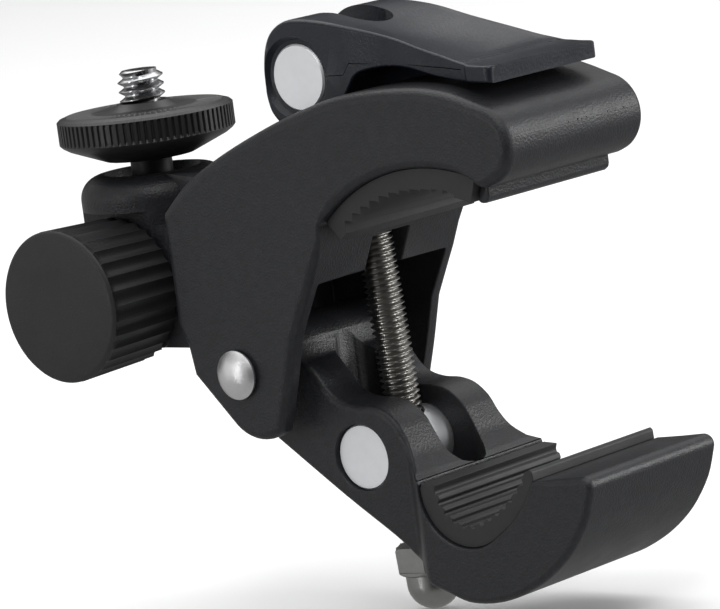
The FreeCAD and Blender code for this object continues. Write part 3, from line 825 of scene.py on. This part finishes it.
def ball_housing():
    """Round socket housing with a soft shoulder, a flat for the knob, and its bridge."""
    radius, bottom, top, shoulder = 10.3, 0.6, 24.1, 3.2
    base = Vector((BALL.x, 0, 0))
    round_top = arc((radius - shoulder, top - shoulder), shoulder, 0, 90, 12)
    profile = [(radius - 0.4, bottom), (radius, bottom + 0.4)] + round_top
    housing = turned("ball_housing_mesh", base, UP, profile, 128)
    frame_back, bridge_top = -44.5, 17.5
    bridge = [(BALL.x, bottom), (frame_back, bottom), (frame_back, bridge_top),
              (BALL.x, bridge_top)]
    join(housing, side_plate("bridge", bridge, 8.0))
    web = [(-58.5, 16.0), (frame_back, 16.0), (frame_back, 20.9), (-43.4, 22.7), (-53.0, 23.9),
           (-58.5, 23.9)]
    join(housing, side_plate("web", web, 4.5))
    flat = [(BALL.x - 12, -12), (BALL.x + 12, -12), (BALL.x + 12, -8.2), (BALL.x - 12, -8.2)]
    cut(housing, column("flat", flat, -1, 19.5))
    ball_gap, lip, rim = 6.08, 5.0, 6.7
    lip_z = BALL.z + math.sqrt(ball_gap ** 2 - lip ** 2)
    socket = [(lip, lip_z - 2.0), (lip, lip_z), (rim, top), (rim + 0.3, top + 0.3)]
    globe = arc((0.0, BALL.z), ball_gap, -89, 89, 24)
    bore = [(ball_gap, bottom - 1), (ball_gap, BALL.z)]
    for hollow in (socket, globe, bore):
        cut(housing, turned("hollow", base, UP, hollow))
    shade_by_area(clean(housing), 28)
    stand_for(housing, "ball_housing")


def lock_wheel():
    """Knurled disc: cone underneath, straight knurl, chamfer, serrated platform."""
    teeth, depth = 80, 0.32
    serrations, serration_depth = 64, 0.16
    bottom, top, radius = 25.9, 32.6, 12.2
    profile = [(3.3, bottom), (6.2, bottom), (11.0, bottom + 2.05), (11.85, bottom + 2.6),
               (radius, bottom + 3.0), (radius, bottom + 3.4), (radius, top - 0.9),
               (radius, top - 0.62), (radius - 0.35, top - 0.3), (10.95, top),
               (10.6, top - 0.04), (7.6, top - 0.04), (7.2, top), (4.9, top), (4.6, top + 0.1),
               (3.5, top + 0.9), (2.9, top + 0.9)]
    low, high = bottom + 3.2, top - 0.75

    def shape(r, h, angle):
        phase = angle * teeth / (2 * math.pi) % 1
        if low < h < high and r > 12:
            return (r - depth, h) if 0.55 < phase < 0.9 else (r, h)
        if 7.5 < r < 10.7 and h > high:
            return r, h - serration_depth * (0.5 + 0.5 * math.cos(angle * serrations))
        return r, h

    wheel = turned("lock_wheel_mesh", Vector((BALL.x, 0, 0)), UP, profile, teeth * 8, shape)
    stand_for(smooth(wheel, 24), "lock_wheel")


def knob():
    """Moulded knob with scalloped flutes that end short of its flat front."""
    flutes, depth = 32, 0.5
    front, rear = cad("knob", 0, 1), cad("knob", 1, 1)
    length = rear - front
    profile = [(TIP, 0.0), (5.0, 0.0), (9.75, 0.0), (10.15, 0.12), (10.42, 0.45)]
    profile += [(10.5 - 0.035 * h, h) for h in (0.75, 0.95, 1.2, 1.5, 2.0, 5.0, 9.0, length - 1.0,
                                                length - 0.4, length)]
    profile += [(9.4, length), (8.0, length - 0.05), (7.9, length - 3.9), (4.5, length - 3.9),
                (4.4, length - 0.1), (2.6, length)]

    def shape(r, h, angle):
        if r < 9.9 or h < 0.5:
            return r, h
        phase = angle * flutes / (2 * math.pi) % 1
        scallop = math.sin(math.pi * phase) ** 0.8
        start = min(max((h - 0.45) / 0.9, 0.0), 1.0)
        return r - depth * scallop * math.sqrt(start), h

    centre = Vector((BALL.x, front, KNOB_Z))
    piece = turned("knob_mesh", centre, ACROSS, profile, flutes * 12, shape)
    stand_for(smooth(piece, 38), "knob")


# Scene -----------------------------------------------------------------------------------

def build_object():
    frame_casting()
    jaw_casting()
    ball_housing()
    for node in ("base_cap", "mount_screws", "mount_washers", "ball_cup", "ball_stem",
                 "knob_screw"):
        coat(NODES[node], node)
    upper_pad()
    lower_pad()
    hinge_rivet()
    cross_barrel("jaw_barrel", JAW_PIN, [(2.7, -10, 10)])
    cross_barrel("lever_barrel", LEVER_PIN, [(2.55, -10, 10), (3.45, -10, -1.0)])
    clamp_rod()
    cap_nut()
    lever()
    camera_stud()
    lock_wheel()
    knob()


STUDIO_CENTRE = Vector((-0.02, 0, 0.005))


def rectangle(name, width, depth, height, material):
    """A flat rectangle around the origin, for the studio."""
    x, y = width / 2, depth / 2
    mesh = bpy.data.meshes.new(name)
    mesh.from_pydata([(-x, -y, height), (x, -y, height), (x, y, height), (-x, y, height)],
                     [], [(0, 1, 2, 3)])
    mesh.materials.append(material)
    sheet = bpy.data.objects.new(name, mesh)
    bpy.context.scene.collection.objects.link(sheet)
    return sheet


def floor():
    material = bpy.data.materials.new("studio_floor")
    material.use_nodes = True
    nodes, links = material.node_tree.nodes, material.node_tree.links
    shader = nodes["Principled BSDF"]
    grain = nodes.new("ShaderNodeTexNoise")
    grain.inputs["Scale"].default_value = 30
    tone = nodes.new("ShaderNodeMapRange")
    tone.inputs["To Min"].default_value = 0.55
    tone.inputs["To Max"].default_value = 0.65
    links.new(grain.outputs["Fac"], tone.inputs["Value"])
    links.new(tone.outputs["Result"], shader.inputs["Roughness"])
    shader.inputs["Base Color"].default_value = (0.92, 0.92, 0.92, 1)
    size, gap = 12.0, 0.0002
    plane = rectangle("floor", size, size, CAD_BOX[0][2] - gap, material)
    plane.visible_glossy = False


def aim(thing, direction, distance):
    """Places a light or a card in that direction from the object, facing it."""
    away = Vector(direction).normalized()
    thing.location = STUDIO_CENTRE + away * distance
    thing.rotation_euler = away.to_track_quat("Z", "Y").to_euler()
    thing.visible_camera = False


def softbox(name, direction, distance, width, height, radiance):
    """A soft rectangular light that looks at the object and stays out of the picture."""
    light = bpy.data.lights.new(name, "AREA")
    light.shape = "RECTANGLE"
    light.size, light.size_y = width, height
    light.energy = radiance * math.pi * width * height
    lamp = bpy.data.objects.new(name, light)
    aim(lamp, direction, distance)
    bpy.context.scene.collection.objects.link(lamp)


def flag(name, direction, distance, width, height):
    """A black card outside the picture that only reflections see: it keeps one side dark."""
    black = bpy.data.materials.new(name)
    black.use_nodes = True
    shader = black.node_tree.nodes["Principled BSDF"]
    shader.inputs["Base Color"].default_value = (0.003, 0.003, 0.003, 1)
    shader.inputs["Specular IOR Level"].default_value = 0.0
    card = rectangle(name, width, height, 0.0, black)
    aim(card, direction, distance)
    card.visible_diffuse = False
    card.visible_shadow = False


def lights():
    world = bpy.data.worlds.new("studio")
    world.use_nodes = True
    background = world.node_tree.nodes["Background"]
    background.inputs["Color"].default_value = (1, 1, 1, 1)
    background.inputs["Strength"].default_value = 0.39
    bpy.context.scene.world = world
    softbox("overhead", (-0.12, 0.16, 1.0), 1.6, 2.6, 2.6, 1.75)
    softbox("left", (-0.667, -0.731, 0.12), 1.3, 1.3, 0.8, 0.35)
    softbox("right_back", (0.62, 0.73, 0.22), 1.1, 0.40, 0.40, 12.0)
    softbox("front_top", (0.45, -0.50, 0.74), 1.1, 0.35, 0.35, 6.5)
    softbox("left_strip", (-0.25, -0.96, 0.10), 1.0, 0.06, 0.9, 9.0)
    softbox("right_strip", (0.98, 0.21, 0.10), 1.0, 0.10, 0.9, 8.0)
    flag("front_flag", (0.70, -0.71, -0.05), 1.0, 1.0, 0.9)
    flag("back_flag", (-0.667, 0.731, 0.20), 1.6, 1.5, 0.6)


def camera():
    """Long lens in front of the mouth, a little above and rolled with the object's lean."""
    right = Vector((0.7454, 0.65375, -0.1296))
    up = Vector((-0.0006, 0.19504, 0.9808))
    back = Vector((0.6667, -0.73115, 0.1457))
    matrix = Matrix((right, up, back)).transposed().to_4x4()
    matrix.translation = Vector((374.7, -438.9, 92.5)) * MM
    data = bpy.data.cameras.new("camera")
    data.sensor_width = 36
    data.lens = 225.7
    data.clip_end = 50
    viewer = bpy.data.objects.new("camera", data)
    viewer.matrix_world = matrix
    bpy.context.scene.collection.objects.link(viewer)
    bpy.context.scene.camera = viewer


build_object()
floor()
lights()
camera()
bpy.context.scene.view_settings.view_transform = "Standard"
